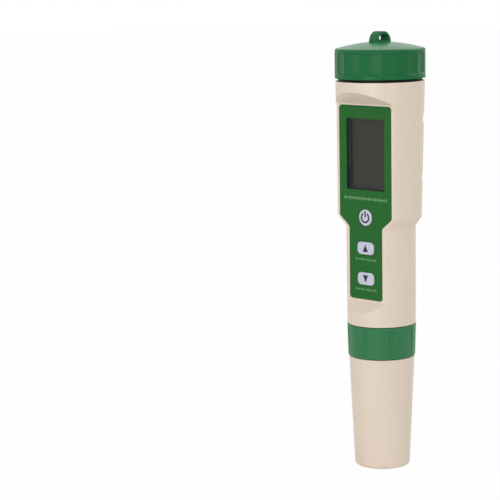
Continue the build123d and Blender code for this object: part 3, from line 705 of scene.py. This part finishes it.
class PEN_OT_display(bpy.types.Operator):
    """Finishes the display pane, frame, panel, pins and light guide"""

    bl_idname = "test_pen.display"
    bl_label = "Display"

    def execute(self, context):
        look = context.scene.pen_display
        dress("display_window", clear_sheet("clear_pane", (0.93, 0.95, 0.94)))
        frame_black = (0.012, 0.016, 0.012)
        dress("display_bezel", moulded_plastic("bezel_plastic", frame_black, 0.5, 0.0003, 0.000004))
        glass = moulded_plastic(
            "lcd_glass", look.colour, 0.35, 0.0008, 0.000001, variation=0.06, specular=0.12
        )
        dress("lcd_panel", glass)
        self.add_mask(look)
        self.add_pin_tips(look)
        dress("lcd_pins", brushed_metal("pin_metal", (0.10, 0.10, 0.09), 0.45))
        milky = moulded_plastic("milky_plastic", (0.7, 0.72, 0.7), 0.4, 0.0006, 0.000002)
        dress("lcd_backlight", milky)
        return {"FINISHED"}

    def add_mask(self, look):
        """Dark strips along the left and lower edges of the display: partly its dark border, partly
        painted shadow that the window's edge casts on it.
        """
        # The strips are partly the display's own dark border and partly painted shadow.
        ink = moulded_plastic("border_and_shadow_ink", (0.006, 0.008, 0.006), 0.5, 0.0004, 0.000002, specular=0.2)
        corner, far = low("lcd_panel"), high("lcd_panel")
        strip = look.mask_width
        width = far.x - corner.x - strip
        outlines = (
            bar_outline(corner.x + strip / 2, (corner.z + far.z) / 2, strip, far.z - corner.z),
            bar_outline(far.x - width / 2, corner.z + strip / 2, width, strip),
        )
        shape = bmesh.new()
        for outline in outlines:
            add_print(shape, outline, corner.y, look.border_and_shadow_thickness)
        mesh_piece("lcd_border_and_shadow", shape, ink, "housing")

    def add_pin_tips(self, look):
        """Ends of the display's clip pins, which show past the edge of the frame."""
        # The pin ends are coloured dark green, darker than the pins' own metal.
        dark_green = moulded_plastic("pin_tip_dark_green", (0.05, 0.11, 0.05), 0.5, 0.0002, 0.000003, specular=0.2)
        front = low("display_bezel").y + 0.1 * mm
        back = low("lcd_panel").y - 0.05 * mm
        first = high("lcd_panel").z - look.tip_drop
        size = Matrix.Diagonal((look.tip_width, back - front, look.tip_height, 1))
        shape = bmesh.new()
        for index in range(look.tip_count):
            made = bmesh.ops.create_cube(shape, size=1)
            place = (-look.tip_side, (front + back) / 2, first - index * look.tip_pitch)
            bmesh.ops.transform(shape, matrix=Matrix.Translation(place) @ size, verts=made["verts"])
        mesh_piece("lcd_pin_tips", shape, dark_green, "housing")


class PEN_OT_keys(bpy.types.Operator):
    """Finishes the keys and prints their symbols"""

    bl_idname = "test_pen.keys"
    bl_label = "Keys"

    def execute(self, context):
        look = context.scene.pen_keys
        rubber = soft_rubber("key_rubber", look.colour, 0.5)
        ink = soft_rubber("key_ink", look.symbol_colour, 0.45)
        plunger = moulded_plastic("plunger_plastic", (0.02, 0.02, 0.02), 0.5, 0.0003, 0.000003)
        for name in ("power_key", "up_key", "down_key"):
            dress(name, rubber)
            dress(name.replace("_key", "_plunger"), plunger)
            middle = centre(name)
            front = low(name).y
            shape = bmesh.new()
            if name == "power_key":
                power_symbol(shape, (middle.x, middle.z), front, look)
            else:
                direction = 1 if name == "up_key" else -1
                triangle_symbol(shape, (middle.x, middle.z), front, look, direction)
            mesh_piece(name.replace("_key", "_symbol"), shape, ink, name)
        return {"FINISHED"}


class PEN_OT_seals(bpy.types.Operator):
    """Finishes the rubber seals"""

    bl_idname = "test_pen.seals"
    bl_label = "Seals"

    def execute(self, context):
        black = soft_rubber("seal_rubber", (0.006, 0.008, 0.005), 0.5, specular=0.12)
        for node in ("cap_seal", "module_seal", "cover_seal"):
            dress(node, black)
        return {"FINISHED"}


class PEN_OT_threads(bpy.types.Operator):
    """Lays the coupling threads on the neck and the nose, which the solids leave plain"""

    bl_idname = "test_pen.threads"
    bl_label = "Threads"

    def execute(self, context):
        look = context.scene.pen_threads
        colour = context.scene.pen_body.colour
        plastic = moulded_plastic("thread_plastic", colour, 0.4, 0.0004, 0.000004)
        neck_bottom = low("battery_cap").z + look.neck_start
        nose_bottom = low("lock_ring").z + look.nose_start
        thread_ridge("neck_thread", look.neck_radius, neck_bottom, look.neck_length, look, plastic)
        thread_ridge("nose_thread", look.nose_radius, nose_bottom, look.nose_length, look, plastic)
        return {"FINISHED"}


class PEN_OT_sponge(bpy.types.Operator):
    """Gives the storage sponge in the cover its soft form"""

    bl_idname = "test_pen.sponge"
    bl_label = "Storage Sponge"

    def execute(self, context):
        look = context.scene.pen_sponge
        random.seed(7)
        shape = bmesh.new()
        loops = [
            level_loop(shape, reach, height, look.turns, look.unevenness)
            for reach, height in self.side_profile(look)
        ]
        join_loops(shape, loops)
        shape.faces.new(list(reversed(loops[0])))
        shape.faces.new(loops[-1])
        piece = mesh_piece("sponge_pad", shape, self.foam(look), "probe_cover")
        smooth_by_angle(piece, 50)
        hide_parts("storage_sponge")
        return {"FINISHED"}

    def foam(self, look):
        """Open foam with fine pores, darker where their relief is low: painted shade in the pores."""
        material, tree, shader = new_material("sponge_foam", roughness=0.95, specular=0.1)
        pores = noise(tree, position(tree), 0.0006, 4.0)
        # The darker pore colour follows the low spots of the relief: painted shade in the pores.
        tint = blend_colour(tree, pores, look.pore_shade_colour, look.colour)
        tree.links.new(tint, shader.inputs["Base Color"])
        relief(tree, shader, [(pores, 0.0002)], 0.9)
        return material

    def side_profile(self, look):
        """Radius and height of each loop from the bottom edge to the top one, both rounded."""
        bottom, top = low("storage_sponge"), high("storage_sponge")
        radius = (top.x - bottom.x) / 2 - look.margin
        arc = [math.radians(angle) for angle in (0, 30, 60, 90)]
        profile = [
            (radius - look.edge * (1 - math.sin(angle)), bottom.z + look.edge * (1 - math.cos(angle)))
            for angle in arc
        ]
        profile += [(radius, bottom.z + (top.z - bottom.z) * share) for share in (0.3, 0.5, 0.7)]
        profile += [
            (radius - look.edge * (1 - math.cos(angle)), top.z - look.edge * (1 - math.sin(angle)))
            for angle in arc
        ]
        return profile


class PEN_OT_electronics(bpy.types.Operator):
    """Finishes the circuit board and what is on it"""

    bl_idname = "test_pen.electronics"
    bl_label = "Electronics"

    def execute(self, context):
        dark_green = moulded_plastic(
            "solder_mask", (0.012, 0.12, 0.045), 0.35, 0.0005, 0.000004, coat=0.3, variation=0.2
        )
        dress("circuit_board", dark_green)
        chip = moulded_plastic("chip_epoxy", (0.02, 0.02, 0.022), 0.55, 0.0002, 0.000004)
        for node in ("controller_chip", "amplifier_chips", "key_switches"):
            dress(node, chip)
        dress("clock_crystal", brushed_metal("crystal_can", (0.62, 0.62, 0.62), 0.3))
        ceramic = moulded_plastic("fired_ceramic", (0.42, 0.30, 0.17), 0.5, 0.0002, 0.000004)
        dress("chip_capacitors", ceramic)
        return {"FINISHED"}


class PEN_OT_batteries(bpy.types.Operator):
    """Finishes the battery holder, cells and contacts"""

    bl_idname = "test_pen.batteries"
    bl_label = "Batteries"

    def execute(self, context):
        holder = moulded_plastic("holder_plastic", (0.022, 0.022, 0.024), 0.5, 0.0003, 0.000004)
        for node in ("battery_holder", "sensor_socket"):
            dress(node, holder)
        dress("button_cells", brushed_metal("cell_steel", (0.66, 0.66, 0.64), 0.28, (0.02, 1, 1)))
        spring = brushed_metal("spring_steel", (0.68, 0.66, 0.6), 0.3, (0.02, 1, 1))
        for node in ("battery_springs", "contact_plate"):
            dress(node, spring)
        dress("plate_screw", brushed_metal("screw_steel", (0.6, 0.6, 0.6), 0.3))
        gold = brushed_metal("gold_plating", (0.83, 0.62, 0.26), 0.25)
        for node in ("contact_strips", "socket_leads", "sensor_pins"):
            dress(node, gold)
        return {"FINISHED"}


class PEN_OT_sensor(bpy.types.Operator):
    """Finishes the sensor module"""

    bl_idname = "test_pen.sensor"
    bl_label = "Sensor Module"

    def execute(self, context):
        black = moulded_plastic("sensor_plastic", (0.02, 0.02, 0.022), 0.45, 0.0003, 0.000005)
        for node in ("sensor_body", "sensor_guard"):
            dress(node, black)
        dress("ph_bulb", blown_glass("bulb_glass", (0.92, 0.97, 0.96)))
        dress("redox_rod", blown_glass("rod_glass", (0.8, 0.86, 0.86)))
        dress("bulb_wire", brushed_metal("silver_wire", (0.75, 0.75, 0.74), 0.4))
        porous = moulded_plastic("porous_ceramic", (0.78, 0.77, 0.72), 0.8, 0.0002, 0.00002)
        dress("reference_junction", porous)
        dress("redox_band", brushed_metal("platinum", (0.78, 0.77, 0.75), 0.15))
        steel = brushed_metal("probe_steel", (0.62, 0.62, 0.61), 0.22)
        for node in ("conductivity_pins", "temperature_probe"):
            dress(node, steel)
        return {"FINISHED"}


class PEN_OT_stage(bpy.types.Operator):
    """Sets the camera, lamps, floor and world"""

    bl_idname = "test_pen.stage"
    bl_label = "Stage"

    def execute(self, context):
        scene = context.scene
        scene.view_settings.view_transform = "Standard"
        look = scene.pen_stage
        bearing = look.bearing
        level = Vector((math.sin(bearing), -math.cos(bearing), 0)) * look.distance
        place = level + Vector((0, 0, look.height))
        heading = bearing + look.aside
        forward = Vector(
            (
                -math.sin(heading) * math.cos(look.down),
                math.cos(heading) * math.cos(look.down),
                -math.sin(look.down),
            )
        )
        right = Vector((math.cos(heading), math.sin(heading), 0))
        up = right.cross(forward)
        across = math.cos(look.roll) * right + math.sin(look.roll) * up
        upright = math.cos(look.roll) * up - math.sin(look.roll) * right
        data = bpy.data.cameras.new("camera")
        data.sensor_width = 36
        data.sensor_fit = "HORIZONTAL"
        data.lens = look.lens
        data.clip_end = 20
        camera = bpy.data.objects.new("camera", data)
        turned = Matrix((across, upright, -forward)).transposed().to_4x4()
        camera.matrix_world = Matrix.Translation(place) @ turned
        scene.collection.objects.link(camera)
        scene.camera = camera
        self.add_floor(scene)
        self.add_world(scene)
        self.add_lamp(scene, "key_lamp", (-0.75, -1.15, 1.15), 0.9, 5.4)
        self.add_lamp(scene, "side_lamp", (1.3, -0.5, 0.7), 0.8, 4.4)
        self.add_lamp(scene, "low_lamp", (0.4, -1.3, 0.05), 0.7, 7.6)
        self.add_lamp(scene, "back_lamp", (0.2, 1.2, 1.2), 0.9, 8.0)
        return {"FINISHED"}

    def add_floor(self, scene):
        """White floor that keeps a faint shadow."""
        half = 4.0
        mesh = bpy.data.meshes.new("floor")
        corners = [(-half, -half, 0), (half, -half, 0), (half, half, 0), (-half, half, 0)]
        mesh.from_pydata(corners, [], [(0, 1, 2, 3)])
        floor = bpy.data.objects.new("floor", mesh)
        scene.collection.objects.link(floor)
        material, tree, shader = new_material("floor_paint", roughness=0.9, specular=0.1)
        paper = noise(tree, position(tree), 0.05, 2.0)
        white = blend_colour(tree, paper, (0.88, 0.88, 0.88), (0.91, 0.91, 0.91))
        tree.links.new(white, shader.inputs["Base Color"])
        glow = tree.nodes.new("ShaderNodeEmission")
        glow.inputs["Color"].default_value = (1, 1, 1, 1)
        glow.inputs["Strength"].default_value = 1.0
        path = tree.nodes.new("ShaderNodeLightPath")
        shown = self.seen_directly(tree, path)
        seen = tree.nodes.new("ShaderNodeMath")
        seen.operation = "MULTIPLY"
        seen.inputs[1].default_value = 0.97
        tree.links.new(shown, seen.inputs[0])
        mix = tree.nodes.new("ShaderNodeMixShader")
        tree.links.new(seen.outputs["Value"], mix.inputs["Fac"])
        tree.links.new(shader.outputs["BSDF"], mix.inputs[1])
        tree.links.new(glow.outputs["Emission"], mix.inputs[2])
        tree.links.new(mix.outputs["Shader"], tree.nodes["Material Output"].inputs["Surface"])
        mesh.materials.append(material)

    def add_world(self, scene):
        """Even grey-white surround that shows white to the camera."""
        world = bpy.data.worlds.new("surround")
        scene.world = world
        world.use_nodes = True
        tree = world.node_tree
        ground = tree.nodes["Background"]
        ground.inputs["Color"].default_value = (1, 1, 1, 1)
        ground.inputs["Strength"].default_value = 0.5
        white = tree.nodes.new("ShaderNodeBackground")
        white.inputs["Color"].default_value = (1, 1, 1, 1)
        white.inputs["Strength"].default_value = 1.0
        path = tree.nodes.new("ShaderNodeLightPath")
        mix = tree.nodes.new("ShaderNodeMixShader")
        tree.links.new(self.seen_directly(tree, path), mix.inputs["Fac"])
        tree.links.new(ground.outputs["Background"], mix.inputs[1])
        tree.links.new(white.outputs["Background"], mix.inputs[2])
        tree.links.new(mix.outputs["Shader"], tree.nodes["World Output"].inputs["Surface"])

    def seen_directly(self, tree, path):
        """1 for rays from the camera, also by a reflection or through glass."""
        result = path.outputs["Is Camera Ray"]
        for kind in ("Is Glossy Ray", "Is Transmission Ray"):
            either = tree.nodes.new("ShaderNodeMath")
            either.operation = "MAXIMUM"
            tree.links.new(result, either.inputs[0])
            tree.links.new(path.outputs[kind], either.inputs[1])
            result = either.outputs["Value"]
        return result

    def add_lamp(self, scene, name, place, size, power):
        """Square soft lamp aimed at the middle of the pen."""
        data = bpy.data.lights.new(name, "AREA")
        data.shape = "SQUARE"
        data.size = size
        data.energy = power
        lamp = bpy.data.objects.new(name, data)
        lamp.location = place
        aim = Vector((0, 0, 0.1)) - Vector(place)
        lamp.rotation_euler = aim.to_track_quat("-Z", "Y").to_euler()
        scene.collection.objects.link(lamp)


class PEN_PT_panel(bpy.types.Panel):
    """Lists the steps that dress the pen"""

    bl_label = "Test Pen"
    bl_idname = "PEN_PT_panel"
    bl_space_type = "VIEW_3D"
    bl_region_type = "UI"
    bl_category = "Test Pen"

    def draw(self, context):
        scene = context.scene
        for look in looks:
            group = getattr(scene, look)
            for value in group.__annotations__:
                self.layout.prop(group, value)
        for step in steps:
            self.layout.operator(step.bl_idname)


looks = {
    "pen_body": BodyLook,
    "pen_green": GreenLook,
    "pen_label": LabelLook,
    "pen_display": DisplayLook,
    "pen_keys": KeyLook,
    "pen_threads": ThreadLook,
    "pen_sponge": SpongeLook,
    "pen_stage": StageLook,
}
steps = (
    PEN_OT_shells,
    PEN_OT_green_parts,
    PEN_OT_label,
    PEN_OT_display,
    PEN_OT_keys,
    PEN_OT_seals,
    PEN_OT_threads,
    PEN_OT_sponge,
    PEN_OT_electronics,
    PEN_OT_batteries,
    PEN_OT_sensor,
    PEN_OT_stage,
)


def register():
    for group in looks.values():
        bpy.utils.register_class(group)
    for step in steps:
        bpy.utils.register_class(step)
    bpy.utils.register_class(PEN_PT_panel)
    for name, group in looks.items():
        setattr(bpy.types.Scene, name, PointerProperty(type=group))


def unregister():
    for name in looks:
        delattr(bpy.types.Scene, name)
    bpy.utils.unregister_class(PEN_PT_panel)
    for step in reversed(steps):
        bpy.utils.unregister_class(step)
    for group in reversed(looks.values()):
        bpy.utils.unregister_class(group)


def main():
    register()
    bpy.ops.test_pen.shells()
    bpy.ops.test_pen.green_parts()
    bpy.ops.test_pen.label()
    bpy.ops.test_pen.display()
    bpy.ops.test_pen.keys()
    bpy.ops.test_pen.seals()
    bpy.ops.test_pen.threads()
    bpy.ops.test_pen.sponge()
    bpy.ops.test_pen.electronics()
    bpy.ops.test_pen.batteries()
    bpy.ops.test_pen.sensor()
    bpy.ops.test_pen.stage()


if __name__ == "__main__":
    main()
